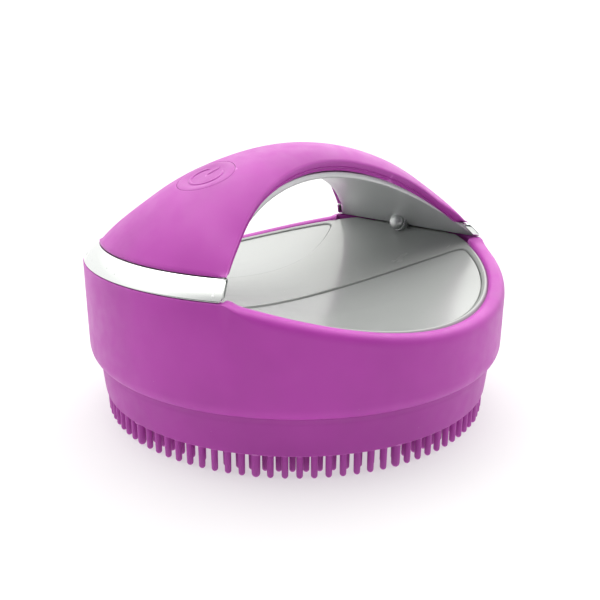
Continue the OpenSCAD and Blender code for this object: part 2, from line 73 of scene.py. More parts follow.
# The handle: a dome of two arcs, cut to an hourglass in plan
CROWN_R = 78
SHOULDER_R = 47.3
JOIN_R = CROWN_R / 3
SHOULDER_X = (CROWN_R - SHOULDER_R) / 3
SHOULDER_Z = CROWN_Z - CROWN_R + (CROWN_R - SHOULDER_R) * math.sqrt(8) / 3
WAIST_Y = 10.6
WAIST_CURVE_R = 73
TRIM_RUN = 4
TRIM_TOP_R = BODY_R - TRIM_RUN
ARCH_R = 65.2
ARCH_Z = -8
LIP_R = 57.5
LIP_Z = 1.5

# Power button and charge port, on their own outward axes
BUTTON_TILT = math.radians(22.8)
BUTTON_R = 6.9
BUTTON_AXIS = np.array([-math.sin(BUTTON_TILT), 0, math.cos(BUTTON_TILT)])
BUTTON_CENTRE = np.array([-(SHOULDER_X + SHOULDER_R * math.sin(BUTTON_TILT)), 0,
                          SHOULDER_Z + SHOULDER_R * math.cos(BUTTON_TILT)])
PORT_TILT = math.radians(12)
PORT_AXIS = np.array([-math.cos(PORT_TILT), 0, math.sin(PORT_TILT)])
PORT_CENTRE = np.array([42.6, 0, 40.0])

# Brush pins
PIN_LEN = 5.5
PIN_R = 0.76
BROAD_PIN_R = 1.0
OUTER_PINS = 100
OUTER_RING_R = 48.9
SECOND_RING_GAP = 2.7
RING_PITCH = 6
INNER_PIN_PITCH = 6
INNERMOST_RING_R = 3
BROAD_PIN_EVERY = 10
PIN_FILLET = 0.3
PAD_FLOOR_T = 2.4
PAD_WALL_T = 2

# The sleeve, cut low between these angles at each root of the handle
ROOT_EDGE = math.radians(30.1)
ROOT_TOP_Z = TRIM_LOW_Z - 0.14

# The tray and the two side panels sunk in it
TRAY_T = 2.0
SHELF_W = 4.0
SHELF_DROP = 1.25
PANEL_T = 0.8
PANEL_GAP = 0.18
PANEL_DROP = 0.35
PANEL_EDGE_R = TRAY_R - 1.5
PANEL_CORNER = 2.4
STRIP_Y = 12.1
STRIP_CURVE_R = 72

# The bright bands at the roots
BAND_T = 1.7
BAND_CROWN = 0.22
BAND_CORNER = 0.7
BAND_END_GAP = 0.15

# The grip's long edges and the arch's lining
GRIP_EDGE = 0.35
GRIP_LEAN = 1.0
GRIP_END_GAP = 0.1 + 0.45
LINER_T = 1.5
LINER_INSET = 1.75

# The charge socket and its plug
SOCKET_FACE_R, SOCKET_BODY_R, SOCKET_BORE_R, SOCKET_LEN = 2.7, 2.1, 1.25, 5.8
PLUG_HEAD_R, PLUG_HEAD_H, PLUG_STEM_R, PLUG_STEM_LEN = 2.4, 1.9, 1.17, 3.0


# ---------------------------------------------------------------- small helpers

def ease(t):
    t = np.clip(t, 0, 1)
    return t * t * (3 - 2 * t)


def saddle(x, low):
    return low + SADDLE_R - np.sqrt(SADDLE_R ** 2 - np.asarray(x) ** 2)


def dome_z(rho):
    rho = np.asarray(rho, float)
    crown = CROWN_Z - CROWN_R + np.sqrt(np.maximum(CROWN_R ** 2 - rho ** 2, 0))
    shoulder = SHOULDER_Z + np.sqrt(np.maximum(SHOULDER_R ** 2 - (rho - SHOULDER_X) ** 2, 0))
    return np.where(rho < JOIN_R, crown, shoulder)


def half_width(x):
    """Half-width of the handle's hourglass plan at x."""
    return WAIST_Y + WAIST_CURVE_R - np.sqrt(WAIST_CURVE_R ** 2 - np.asarray(x) ** 2)


def bar_z(x, centre_z, radius):
    """Height of a round bar along Y: the arch under the handle, or the lip of its grip."""
    return centre_z + np.sqrt(radius ** 2 - np.asarray(x) ** 2)


def on_circle(r, angle):
    return r * math.cos(angle), r * math.sin(angle)


def bezier(a, b, c, shares):
    """Points on a quadratic curve from a to c, pulled towards the corner b."""
    a, b, c = (np.asarray(p, float) for p in (a, b, c))
    return [(1 - t) ** 2 * a + 2 * t * (1 - t) * b + t * t * c for t in shares]


def grid_faces(rows, columns, close_rows=False, close_columns=False):
    faces = []
    for i in range(rows if close_rows else rows - 1):
        for j in range(columns if close_columns else columns - 1):
            i2, j2 = (i + 1) % rows, (j + 1) % columns
            faces.append((i * columns + j, i2 * columns + j, i2 * columns + j2, i * columns + j2))
    return faces


def add_piece(name, points, faces, material, body, replaced=(), sharp=50):
    """A mesh piece in millimetres, smooth except along edges sharper than an angle, riding on a body."""
    mesh = bpy.data.meshes.new(name)
    mesh.from_pydata([tuple(MM * float(c) for c in p) for p in points], [], [tuple(f) for f in faces])
    build = bmesh.new()
    build.from_mesh(mesh)
    bmesh.ops.remove_doubles(build, verts=build.verts, dist=2e-6)
    bmesh.ops.dissolve_degenerate(build, edges=build.edges, dist=1e-7)
    bmesh.ops.recalc_face_normals(build, faces=build.faces)
    build.to_mesh(mesh)
    build.free()
    mesh.shade_smooth()
    mesh.set_sharp_from_angle(angle=math.radians(sharp))
    mesh.materials.append(material)
    piece = bpy.data.objects.new(name, mesh)
    bpy.context.scene.collection.objects.link(piece)
    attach(piece, body)
    if replaced:
        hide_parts(*replaced)


class Solid:
    """Collects points and faces of one or more closed forms."""

    def __init__(self):
        self.points = []
        self.faces = []

    def add(self, points, faces):
        base = len(self.points)
        self.points += [np.asarray(p, float) for p in points]
        self.faces += [tuple(base + i for i in f) for f in faces]

    def lathe(self, profile, centre, axis, segments):
        """A closed form turned from (radius, height) points along an axis; the ends lie on the axis."""
        axis = np.asarray(axis, float) / np.linalg.norm(axis)
        side = np.cross(axis, [0, 1, 0] if abs(axis[1]) < 0.9 else [1, 0, 0])
        side /= np.linalg.norm(side)
        other = np.cross(axis, side)
        points = []
        for r, h in profile:
            for k in range(segments):
                a = 2 * math.pi * k / segments
                points.append(centre + h * axis + r * (math.cos(a) * side + math.sin(a) * other))
        faces = grid_faces(len(profile), segments, close_columns=True)
        self.add(points, faces)


def thick_sheet(top, bottom, faces, edge_rows):
    """A closed solid between two sheets with the same faces. edge_rows(i) gives the points between top
    point i and bottom point i along the sheet's border, the same number for each."""
    solid = Solid()
    count = len(top)
    solid.add(list(top) + list(bottom), list(faces) + [tuple(count + i for i in reversed(f)) for f in faces])
    used = dict.fromkeys((a, b) for f in faces for a, b in zip(f, f[1:] + f[:1]))
    border = [(a, b) for a, b in used if (b, a) not in used]
    rows = {}
    for a, _ in border:
        between = edge_rows(a)
        base = len(solid.points)
        solid.points += [np.asarray(p, float) for p in between]
        rows[a] = [a] + list(range(base, base + len(between))) + [count + a]
    for a, b in border:
        for k in range(len(rows[a]) - 1):
            solid.faces.append((rows[b][k], rows[a][k], rows[a][k + 1], rows[b][k + 1]))
    return solid


# ---------------------------------------------------------------- materials

def new_material(name, base, rough, metallic=0.0, **sockets):
    material = bpy.data.materials.new(name)
    material.use_nodes = True
    shader = material.node_tree.nodes["Principled BSDF"]
    shader.inputs["Base Color"].default_value = (*base, 1)
    shader.inputs["Roughness"].default_value = rough
    shader.inputs["Metallic"].default_value = metallic
    for socket, value in sockets.items():
        shader.inputs[socket.replace("_", " ")].default_value = value
    return material, material.node_tree, shader


def node(tree, kind, **settings):
    made = tree.nodes.new(kind)
    for key, value in settings.items():
        if key in made.inputs:
            made.inputs[key].default_value = value
        else:
            setattr(made, key, value)
    return made


def noise(tree, scale, detail=4, stretch=(1, 1, 1)):
    """Noise over the piece's own coordinates, with a scale in features per metre."""
    place = node(tree, "ShaderNodeTexCoord")
    mapping = node(tree, "ShaderNodeMapping")
    mapping.inputs["Scale"].default_value = stretch
    texture = node(tree, "ShaderNodeTexNoise", Scale=scale, Detail=detail)
    tree.links.new(place.outputs["Object"], mapping.inputs["Vector"])
    tree.links.new(mapping.outputs["Vector"], texture.inputs["Vector"])
    return texture.outputs["Fac"]


def ramp(tree, source, stops):
    """A colour ramp; stops are (position, colour)."""
    made = node(tree, "ShaderNodeValToRGB")
    elements = made.color_ramp.elements
    elements[0].position, elements[0].color = stops[0][0], (*stops[0][1], 1)
    elements[1].position, elements[1].color = stops[-1][0], (*stops[-1][1], 1)
    for position, colour in stops[1:-1]:
        elements.new(position).color = (*colour, 1)
    tree.links.new(source, made.inputs["Fac"])
    return made.outputs["Color"]


def grey(value):
    return (value, value, value)


def rough_detail(tree, shader, source, low, high):
    shade = ramp(tree, source, [(0.3, grey(low)), (0.7, grey(high))])
    tree.links.new(shade, shader.inputs["Roughness"])


def bump_detail(tree, shader, layers):
    """Stacks bump layers, each (height source, depth in metres)."""
    normal = None
    for source, depth in layers:
        bump = node(tree, "ShaderNodeBump")
        bump.inputs["Strength"].default_value = 1
        bump.inputs["Distance"].default_value = depth
        tree.links.new(source, bump.inputs["Height"])
        if normal is not None:
            tree.links.new(normal, bump.inputs["Normal"])
        normal = bump.outputs["Normal"]
    tree.links.new(normal, shader.inputs["Normal"])


def edge_wear_and_highlight(tree, source_colour, wear_and_highlight, low, high):
    """Blends a colour in along sharp convex edges, found by pointiness: a lighter colour on silicone as a painted
    highlight, a dull metal on chrome for worn plating.
    """
    place = node(tree, "ShaderNodeNewGeometry")
    mask = ramp(tree, place.outputs["Pointiness"], [(low, grey(0)), (high, grey(1))])
    mix = node(tree, "ShaderNodeMixRGB")
    mix.inputs["Color2"].default_value = (*wear_and_highlight, 1)
    tree.links.new(mask, mix.inputs["Fac"])
    tree.links.new(source_colour, mix.inputs["Color1"])
    return mix.outputs["Color"]


def silicone(name, base, rough=0.44):
    """Moulded silicone: satin, with a fine matt grain, faint flow clouds, specks of lint and a painted highlight
    along its sharp edges.
    """
    material, tree, shader = new_material(
        name, base, rough, Specular_IOR_Level=0.36, Sheen_Weight=0.12, Sheen_Roughness=0.35,
        Subsurface_Weight=0.06, Subsurface_Scale=0.002)
    shader.inputs["Sheen Tint"].default_value = (1.0, 0.72, 0.98, 1)
    shader.inputs["Subsurface Radius"].default_value = (1.0, 0.35, 0.9)
    clouds = noise(tree, 45, 3)
    darker = tuple(0.93 * c for c in base)
    lighter = tuple(min(1, 1.06 * c) for c in base)
    colour = ramp(tree, clouds, [(0.35, darker), (0.65, lighter)])
    lint = noise(tree, 1500, 2)
    lint_mask = ramp(tree, lint, [(0.79, grey(0)), (0.83, grey(0.6))])
    mix = node(tree, "ShaderNodeMixRGB")
    mix.inputs["Color2"].default_value = (0.90, 0.62, 0.86, 1)
    tree.links.new(lint_mask, mix.inputs["Fac"])
    tree.links.new(colour, mix.inputs["Color1"])
    # painted highlight: the colour is lightened along sharp convex edges, standing in for the light those edges catch
    wear_and_highlight = edge_wear_and_highlight(tree, mix.outputs["Color"], tuple(min(1, 1.2 * c + 0.12) for c in base), 0.52, 0.60)
    tree.links.new(wear_and_highlight, shader.inputs["Base Color"])
    rough_detail(tree, shader, noise(tree, 300, 5), rough - 0.06, rough + 0.08)
    bump_detail(tree, shader, [(noise(tree, 5200, 2), 0.000010), (noise(tree, 260, 3), 0.000016)])
    return material


def lacquer(name, base, rough, flake=0.02, metallic=0.9, wear=0.03):
    """Silver lacquer on plastic: fine metal flake, faint orange peel and soft handling haze."""
    material, tree, shader = new_material(name, base, rough, metallic, Coat_Weight=0.08, Coat_Roughness=0.12)
    flakes = noise(tree, 9000, 2)
    darker = tuple(c * (1 - flake * 2) for c in base)
    lighter = tuple(min(1, c * (1 + flake)) for c in base)
    colour = ramp(tree, flakes, [(0.35, darker), (0.65, lighter)])
    tree.links.new(colour, shader.inputs["Base Color"])
    haze = noise(tree, 60, 6, (1, 2.5, 1))
    rough_detail(tree, shader, haze, max(0.02, rough - wear), rough + wear)
    bump_detail(tree, shader, [(noise(tree, 700, 2), 0.0000018)])
    return material


def chrome(name):
    """Bright plating, with chips of dull metal at the sharp ends and hairline scratches."""
    material, tree, shader = new_material(name, (0.76, 0.79, 0.77), 0.12, 1.0)
    chips = noise(tree, 1400, 6)
    colour = ramp(tree, chips, [(0.28, (0.46, 0.47, 0.47)), (0.32, (0.76, 0.79, 0.77))])
    wear_and_highlight = edge_wear_and_highlight(tree, colour, (0.5, 0.51, 0.5), 0.60, 0.70)
    tree.links.new(wear_and_highlight, shader.inputs["Base Color"])
    scratches = noise(tree, 900, 6, (0.05, 1, 1))
    rough_detail(tree, shader, scratches, 0.07, 0.16)
    bump_detail(tree, shader, [(noise(tree, 500, 2), 0.0000015)])
    return material


def moulded(name, base, rough=0.5, grain=0.000012):
    """Moulded hard plastic with spark-eroded grain."""
    material, tree, shader = new_material(name, base, rough)
    colour = ramp(tree, noise(tree, 80, 4), [(0.35, tuple(0.9 * c for c in base)), (0.65, base)])
    tree.links.new(colour, shader.inputs["Base Color"])
    rough_detail(tree, shader, noise(tree, 500, 3), rough - 0.08, rough + 0.08)
    bump_detail(tree, shader, [(noise(tree, 3000, 2), grain)])
    return material


def metal(name, base, rough, stretch=(1, 1, 1)):
    """Plain metal with a brushed or rolled grain."""
    material, tree, shader = new_material(name, base, rough, 1.0)
    brushed = noise(tree, 2500, 3, stretch)
    colour = ramp(tree, brushed, [(0.3, tuple(0.8 * c for c in base)), (0.7, base)])
    tree.links.new(colour, shader.inputs["Base Color"])
    rough_detail(tree, shader, brushed, rough - 0.08, rough + 0.1)
    bump_detail(tree, shader, [(brushed, 0.000004)])
    return material


def circuit(name):
    """Solder mask with copper tracks that show through as paler green lines."""
    material, tree, shader = new_material(name, (0.02, 0.16, 0.07), 0.3, Coat_Weight=0.4)
    place = node(tree, "ShaderNodeTexCoord")
    brick = node(tree, "ShaderNodeTexBrick", Scale=160.0)
    brick.inputs["Color1"].default_value = (0.02, 0.15, 0.06, 1)
    brick.inputs["Color2"].default_value = (0.018, 0.13, 0.055, 1)
    brick.inputs["Mortar"].default_value = (0.06, 0.33, 0.14, 1)
    brick.inputs["Mortar Size"].default_value = 0.03
    tree.links.new(place.outputs["Object"], brick.inputs["Vector"])
    tree.links.new(brick.outputs["Color"], shader.inputs["Base Color"])
    rough_detail(tree, shader, noise(tree, 400, 3), 0.22, 0.38)
    bump_detail(tree, shader, [(noise(tree, 2500, 2), 0.000006)])
    return material


PURPLE = (0.51, 0.056, 0.455)
SLEEVE = silicone("sleeve_silicone", PURPLE)
PAD = silicone("pad_silicone", tuple(0.93 * c for c in PURPLE), 0.48)
BUTTON = silicone("button_silicone", tuple(0.97 * c for c in PURPLE), 0.40)
TRAY_SILVER = lacquer("tray_silver", (0.40, 0.42, 0.405), 0.24, 0.02, 0.04, 0.04)
PANEL_SILVER = lacquer("panel_silver", (0.40, 0.42, 0.41), 0.22, 0.012, 0.04, 0.03)
LINER_SILVER = lacquer("liner_silver", (0.68, 0.70, 0.70), 0.36, 0.02, 0.4, 0.05)
PLUG_SILVER = lacquer("plug_silver", (0.55, 0.57, 0.56), 0.28)
TRIM_CHROME = chrome("trim_chrome")
INNER_PLASTIC = moulded("inner_plastic", (0.68, 0.68, 0.64))
SEAL_RUBBER = moulded("seal_rubber", (0.035, 0.035, 0.035), 0.65, 0.00002)
SWITCH_BLACK = moulded("switch_black", (0.03, 0.03, 0.032), 0.42)
WIRE_RED = moulded("wire_red", (0.48, 0.02, 0.015), 0.36, 0.000005)
CELL_WRAP = moulded("cell_wrap", (0.06, 0.19, 0.42), 0.22, 0.000003)
SCREW_STEEL = metal("screw_steel", (0.62, 0.62, 0.63), 0.32)
MOTOR_STEEL = metal("motor_steel", (0.56, 0.56, 0.55), 0.34, (0.1, 1, 1))
WEIGHT_METAL = metal("weight_metal", (0.34, 0.34, 0.35), 0.5)
BRASS = metal("contact_brass", (0.80, 0.58, 0.24), 0.25)
CIRCUIT = circuit("board_green")


# ---------------------------------------------------------------- brush pad

def pin_profile(r):
    """A pin from inside the pad down to its rounded tip, with a fillet at its root."""
    tip_r = 0.94 * r
    inside_z, root_z = PIN_LEN + 0.4, PIN_LEN + 0.05
    profile = [(0, inside_z), (r + PIN_FILLET, inside_z), (r + PIN_FILLET, root_z)]
    profile += [(r + PIN_FILLET * (1 - math.sin(a)), root_z - PIN_FILLET * (1 - math.cos(a)))
                for a in (0.4, 0.8, 1.2, math.pi / 2)]
    profile += [(tip_r + (r - tip_r) * 0.5, PIN_LEN / 2)]
    profile += [(tip_r * math.cos(a), tip_r - tip_r * math.sin(a)) for a in np.linspace(0, math.pi / 2, 6)]
    return profile


def make_brush_pad():
    """The silicone cup with its pins: two outer rings set in each other's gaps, then rings further in."""
    solid = Solid()
    low_r = OUTER_RING_R + BROAD_PIN_R + 0.2
    wall_in_r = PAD_TOP_R - PAD_WALL_T
    floor_z = PIN_LEN + PAD_FLOOR_T
    ring = [(0, PIN_LEN), (low_r - 1.2, PIN_LEN)]
    ring += [tuple(p) for p in bezier((low_r - 0.5, PIN_LEN), (low_r, PIN_LEN), (low_r + 0.03, PIN_LEN + 0.6),
                                      np.linspace(0, 1, 6))]
    ring += [(low_r + (PAD_TOP_R - low_r) * s, PIN_LEN + (PAD_TOP_Z - PIN_LEN) * s) for s in (0.25, 0.5, 0.8)]
    ring += [(PAD_TOP_R, PAD_TOP_Z - 0.25), (PAD_TOP_R - 0.1, PAD_TOP_Z - 0.05), (PAD_TOP_R - 0.35, PAD_TOP_Z)]
    ring += [(wall_in_r, PAD_TOP_Z), (wall_in_r, floor_z), (0, floor_z)]
    solid.lathe(ring, np.zeros(3), (0, 0, 1), 240)

    def add_pins(ring_r, count, first, segments, broad_every=0):
        for i in range(count):
            x, y = on_circle(ring_r, 2 * math.pi * (i + first) / count)
            r = BROAD_PIN_R if broad_every and i % broad_every == 0 else PIN_R
            solid.lathe(pin_profile(r), np.array([x, y, 0]), (0, 0, 1), segments)

    add_pins(OUTER_RING_R, OUTER_PINS, 0, 14, BROAD_PIN_EVERY)
    add_pins(OUTER_RING_R - SECOND_RING_GAP, OUTER_PINS, 0.5, 12)
    ring_r = OUTER_RING_R - SECOND_RING_GAP - RING_PITCH
    while ring_r >= INNERMOST_RING_R:
        add_pins(ring_r, round(2 * math.pi * ring_r / INNER_PIN_PITCH), 0.5, 10)
        ring_r -= RING_PITCH
    add_piece("brush_pad_silicone", solid.points, solid.faces, PAD, "housing", ["brush_pad"])


# ---------------------------------------------------------------- sleeve

def sleeve_profile(angle, in_root):
    """The sleeve's closed section at an angle round the body, as (radius, height) points."""
    wall_in = BODY_R - 2.15
    x = BODY_R * math.cos(angle)
    step = bezier((BODY_R - 2.1, STEP_Z), (BODY_R - 1.6, STEP_Z), (BODY_R - 1.25, STEP_Z + 0.35),
                  np.linspace(0, 1, 4))
    step += bezier((BODY_R - 1.0, STEP_Z + 0.62), (BODY_R - 0.25, STEP_Z + 1.4), (BODY_R - 0.05, STEP_Z + 3.0),
                   np.linspace(0, 1, 5))
    if in_root:
        top_z, inner_r, crest, fall = ROOT_TOP_Z, BODY_R - 2.1, 0.35, 0.0
    else:
        from_root = math.acos(min(1, abs(x) / BODY_R)) - ROOT_EDGE
        crest = 0.35 + 2.25 * float(ease(from_root / math.radians(9)))
        top_z, inner_r, fall = float(saddle(0.96 * x, RIM_Z)), TRAY_R + 0.04, 0.35
        top_z += (ROOT_TOP_Z - top_z) * float(1 - ease(from_root / math.radians(3)))
    wall = [(BODY_R, STEP_Z + (top_z - crest - STEP_Z) * s) for s in (0.35, 0.65, 1.0)]
    mid_r = BODY_R - (BODY_R - inner_r) * (0.52 if not in_root else 0.4)
    outer_turn = bezier((BODY_R, top_z - crest), (BODY_R - 0.02, top_z), (mid_r, top_z), np.linspace(0.2, 1, 6))
    inner_turn = bezier((mid_r, top_z), (inner_r + 0.25, top_z), (inner_r, top_z - fall - 0.6),
                        np.linspace(0.25, 1, 5))
    deep_z = top_z - 2.2
    inner = [(inner_r, deep_z), (max(inner_r, wall_in), deep_z - 0.6), (wall_in, STEP_Z + 8), (wall_in, STEP_Z + 0.1)]
    return step + wall + outer_turn + inner_turn + inner


def make_sleeve():
    """The section swept round the body, low at the two roots and high at the two side openings."""
    side_span = math.pi / 2 - ROOT_EDGE
    inset = 0.0025
    angles = []
    for centre, span, count, in_root in ((0, ROOT_EDGE, 60, True), (math.pi / 2, side_span, 110, False),
                                         (math.pi, ROOT_EDGE, 60, True), (1.5 * math.pi, side_span, 110, False)):
        angles += [(a, in_root) for a in np.linspace(centre - span + inset, centre + span - inset, count)]
    sections = [sleeve_profile(angle, in_root) for angle, in_root in angles]
    points = [(*on_circle(r, angle), z) for (angle, _), section in zip(angles, sections) for r, z in section]
    faces = grid_faces(len(angles), len(sections[0]), close_rows=True, close_columns=True)
    add_piece("body_sleeve_silicone", points, faces, SLEEVE, "housing", ["body_sleeve"])


# ---------------------------------------------------------------- tray and side panels

def panel_edge(inset, count):
    """Plan outline of the front side panel (towards -Y), as an evenly spaced closed loop with round corners."""
    outer_r = PANEL_EDGE_R - inset - PANEL_CORNER
    strip_r = STRIP_CURVE_R - inset - PANEL_CORNER
    strip_centre = STRIP_Y + STRIP_CURVE_R
    core = []
    meet_y = (outer_r ** 2 - strip_r ** 2 + strip_centre ** 2) / (2 * strip_centre)
    end_x = math.sqrt(outer_r ** 2 - meet_y ** 2)
    a_end = math.acos(end_x / outer_r)
    for a in np.linspace(math.pi + a_end, 2 * math.pi - a_end, 200):
        core.append(on_circle(outer_r, a))
    b_end = math.acos(end_x / strip_r)
    for b in np.linspace(b_end, math.pi - b_end, 200)[1:-1]:
        x, y = on_circle(strip_r, b)
        core.append((x, y - strip_centre))
    core = np.array(core)
    # grow the core outwards by the corner radius, with arcs at its corners
    grown = []
    n = len(core)
    for i in range(n):
        before, after = core[i] - core[i - 1], core[(i + 1) % n] - core[i]
        a0, a1 = math.atan2(before[1], before[0]), math.atan2(after[1], after[0])
        turn = (a1 - a0 + math.pi) % (2 * math.pi) - math.pi
        steps = max(1, int(abs(turn) / 0.15))
        for k in range(steps + 1):
            a = a0 + turn * k / steps - math.pi / 2
            grown.append(core[i] + PANEL_CORNER * np.array([math.cos(a), math.sin(a)]))
    grown = np.array(grown)
    lengths = np.linalg.norm(np.diff(np.vstack([grown, grown[:1]]), axis=0), axis=1)
    along = np.concatenate([[0], np.cumsum(lengths)])
    loop = np.vstack([grown, grown[:1]])
    want = np.linspace(0, along[-1], count, endpoint=False)
    return np.stack([np.interp(want, along, loop[:, k]) for k in (0, 1)], axis=1)


def tray_height(x, y):
    """The tray's top: the saddle, with a rolled bead at the rim."""
    rho = np.hypot(x, y)
    bead = 0.3 * np.exp(-((rho - (TRAY_R - 0.7)) / 0.45) ** 2)
    away = 1 - ease((np.abs(x) - (TRAY_END_X - 5)) / 2)
    edge_fall = 0.5 * ease((rho - (TRAY_R - 0.35)) / 0.4)
    return saddle(x, TRAY_Z) + bead * away - edge_fall * away


def tray_border(points):
    """For each panel edge point, the matching point on the border of the front half of the tray."""
    centre = np.array([0.0, -30.0])
    matched = []
    for p in points:
        d = p - centre
        d = d / np.linalg.norm(d)
        reach = []
        # the rim circle, the middle line and the two ends
        b = centre @ d
        reach.append(-b + math.sqrt(b * b - centre @ centre + TRAY_R ** 2))
        if d[1] > 1e-6:
            reach.append(-centre[1] / d[1])
        if abs(d[0]) > 1e-6:
            reach.append(TRAY_END_X / abs(d[0]))
        matched.append(centre + d * min(reach))
    return np.array(matched)


def make_tray():
    """The tray in two mirrored halves, each a shelf, recess wall, rounded edge, top and underside."""
    count = 360
    hole = panel_edge(0, count)
    border = tray_border(hole)
    along = hole - np.roll(hole, 1, axis=0)
    inward = np.stack([-along[:, 1], along[:, 0]], axis=1)
    inward /= np.linalg.norm(inward, axis=1)[:, None]
    rounding = 0.24
    start = hole - rounding * inward
    solid = Solid()
    for side in (1, -1):
        rings = []
        for offset, drop in ((SHELF_W, SHELF_DROP), (0.0, SHELF_DROP), (0.0, 0.5), (-0.02, 0.22), (-0.09, 0.06),
                             (-rounding, 0.0)):
            p = hole + inward * offset
            rings.append(np.column_stack([p, tray_height(p[:, 0], p[:, 1]) - drop]))
        for s in (0.04, 0.1, 0.2, 0.34, 0.5, 0.66, 0.8, 0.9, 0.96, 1.0):
            p = start + (border - start) * s
            rings.append(np.column_stack([p, tray_height(p[:, 0], p[:, 1])]))
        for p in (border, start, hole + inward * SHELF_W):
            rings.append(np.column_stack([p, saddle(p[:, 0], TRAY_Z) - TRAY_T]))
        points = np.concatenate(rings)
        points[:, 1] *= side
        faces = grid_faces(len(rings), count, close_rows=True, close_columns=True)
        # the two halves share one line along the middle, so neither has a wall there
        on_middle = np.abs(points[:, 1]) < 1e-6
        solid.add(points, [f for f in faces if not all(on_middle[i] for i in f)])
    add_piece("tray_plate", solid.points, solid.faces, TRAY_SILVER, "housing", ["tray"], 40)


def make_side_panel(side, name, replaced):
    """One inlay that follows the saddle: its underside, its rounded edge, then its face."""
    edge = panel_edge(PANEL_GAP, 240)
    centre = edge.mean(axis=0)
    under = [(s, PANEL_T) for s in (0.0, 0.12, 0.3, 0.5, 0.75, 0.95, 1.0)]
    rounded = [(1.0, 0.22), (0.9985, 0.08), (0.993, 0.0)]
    face = [(s, 0.0) for s in (0.98, 0.95, 0.9, 0.82, 0.72, 0.6, 0.48, 0.36, 0.24, 0.12, 0.0)]
    rings = []
    for s, drop in under + rounded + face:
        p = centre + (edge - centre) * s
        rings.append(np.column_stack([p, saddle(p[:, 0], TRAY_Z) - PANEL_DROP - drop]))
    points = np.concatenate(rings)
    points[:, 1] *= -side
    faces = grid_faces(len(rings), len(edge), close_columns=True)
    add_piece(name, points, faces, PANEL_SILVER, "housing", [replaced], 60)


# ---------------------------------------------------------------- trim bands

def band_end(r):
    """The angle at which a circle of radius r meets the side of the handle."""
    trials = np.linspace(math.radians(25), math.radians(34), 400)
    return next(a for a in trials if r * math.sin(a) > half_width(r * math.cos(a)))


def make_trim(side, name, replaced):
    """A bright band on the cone at one root of the handle, a little crowned, with rounded ends."""
    height = TRIM_TOP_Z - TRIM_LOW_Z
    shares = (1 - np.cos(np.linspace(0, math.pi, 17))) / 2
    columns = 101
    across = np.sin(np.linspace(-math.pi / 2, math.pi / 2, columns))
    top, bottom, place = [], [], []
    for v in shares:
        z = TRIM_LOW_Z + 0.22 + (height - 0.44) * v
        r = BODY_R - TRIM_RUN * (z - TRIM_LOW_Z) / height
        crown = BAND_CROWN * math.sin(math.pi * v)
        into_corner = max(BAND_CORNER - min(v, 1 - v) * height, 0)
        pull = BAND_CORNER - math.sqrt(BAND_CORNER ** 2 - into_corner ** 2)
        end = band_end(r) - (pull + BAND_END_GAP) / r
        for t in across:
            a = end * t
            top.append((side * (r + crown - 0.05) * math.cos(a), (r + crown - 0.05) * math.sin(a), z + 0.3 * crown))
            bottom.append((side * (r - BAND_T) * math.cos(a), (r - BAND_T) * math.sin(a), z))
            place.append(a)
    rows = len(shares)
    faces = grid_faces(rows, columns)

    def edge_rows(i):
        row, column = divmod(i, columns)
        out_v = -1 if row == 0 else 1 if row == rows - 1 else 0
        out_t = -1 if column == 0 else 1 if column == columns - 1 else 0
        p = np.array(top[i])
        a = place[i]
        radial = np.array([side * math.cos(a), math.sin(a), 0])
        around = np.array([-side * math.sin(a), math.cos(a), 0])
        slope = np.array([0, 0, 1.0]) - 1.02 * radial
        slope /= np.linalg.norm(slope)
        size = 0.2 / max(1, abs(out_v) + abs(out_t)) ** 0.5
        out = (out_v * slope + out_t * around) * size
        corner_point = p + out
        inward = -(radial + np.array([0, 0, 1.0]) * 1.0) / math.sqrt(2)
        found = bezier(p, corner_point, corner_point + inward * 0.2, (0.35, 0.7, 1.0))
        low = corner_point + inward * 0.2
        if out_v == -1:
            low = np.array([low[0], low[1], max(low[2], TRIM_LOW_Z + 0.02)])
        return found[:2] + [low]

    solid = thick_sheet(top, bottom, faces, edge_rows)
    add_piece(name, solid.points, solid.faces, TRIM_CHROME, "housing", [replaced])


# ---------------------------------------------------------------- handle

def side_drop(x):
    """How far the grip's long edges fall below the dome."""
    x = np.abs(x)
    return (3.0 + 0.8 * ease(x / 30)) * (1 - ease((x - 34) / 12))


def grip_top(x, y):
    t = np.abs(y) / half_width(x)
    return dome_z(np.hypot(x, y)) - side_drop(x) * t ** 2.6


def end_x(s, radius, inset):
    """Where the line at share s of the handle's width meets a circle about the body's axis."""
    x = radius
    for _ in range(30):
        y = s * (half_width(x) - inset)
        x = math.sqrt(max(radius ** 2 - y ** 2, 1))
    return x


def button_hole_point(angle, radius, height):
    """A point of the circle round the button, on a surface given by its height function."""
    across = np.array([math.cos(BUTTON_TILT), 0, math.sin(BUTTON_TILT)])
    flat = BUTTON_CENTRE + radius * (math.cos(angle) * across + math.sin(angle) * np.array([0, 1, 0]))
    h = 0.0
    for _ in range(25):
        p = flat + h * BUTTON_AXIS
        h += (float(height(p[0], p[1])) - p[2]) * 0.7
    return flat + h * BUTTON_AXIS


